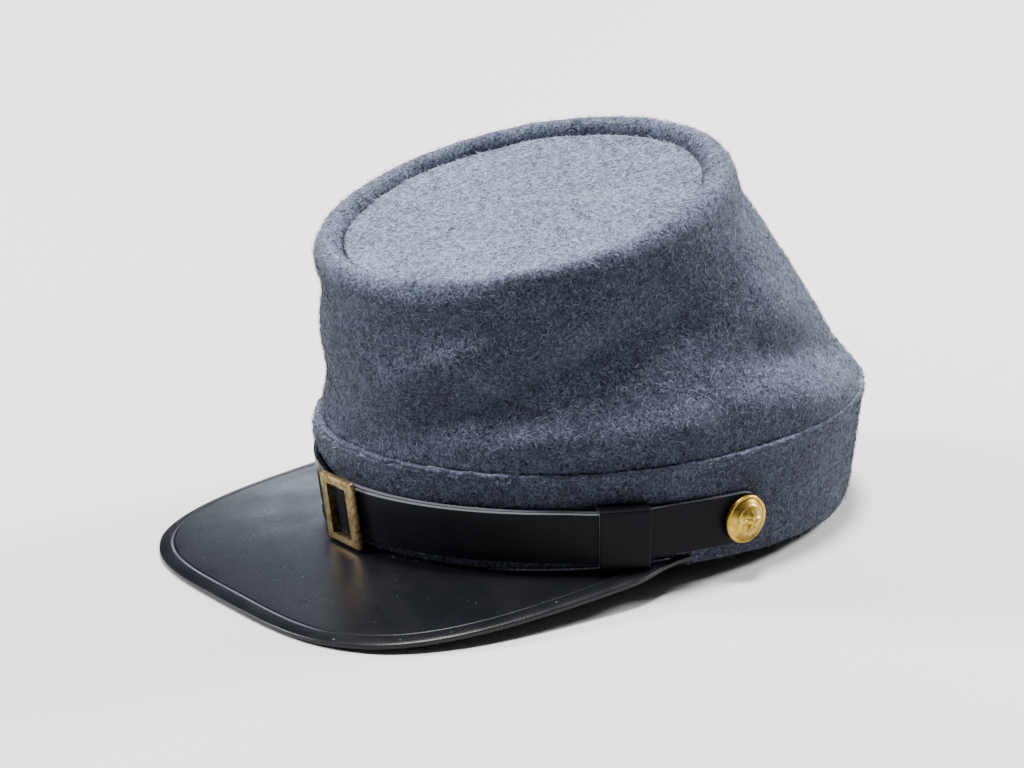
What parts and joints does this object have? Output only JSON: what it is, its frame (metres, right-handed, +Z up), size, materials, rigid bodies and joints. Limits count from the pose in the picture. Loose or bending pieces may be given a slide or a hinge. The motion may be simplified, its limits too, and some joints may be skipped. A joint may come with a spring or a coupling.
{
  "type": "kepi cap",
  "caption": "Soft wool kepi with a forward-leaning crown, recessed round top, drooping leather peak and a buckled leather chin strap held by side buttons.",
  "frame": {"origin": "bottom centre of the whole cap's box, on the surface it rests on", "axes": "-Y the way the peak points, +X the wearer's left, +Z up"},
  "size_m": [0.184, 0.2584, 0.1363],
  "materials": {
    "wool": "fulled heathered wool",
    "wool_top": "fulled heathered wool, lighter",
    "peak_leather": "smooth waxed gloss",
    "strap_leather": "smooth semi-gloss",
    "buckle_brass": "aged",
    "button_brass": "polished"
  },
  "bodies": {
    "root": {"headband": "wool", "crown_wall": "wool", "top_disc": "wool_top", "peak": "peak_leather", "strap_left": "strap_leather", "strap_right": "strap_leather", "keeper": "strap_leather", "buckle": "buckle_brass", "button_left": "button_brass", "button_right": "button_brass"}
  },
  "joints": []
}
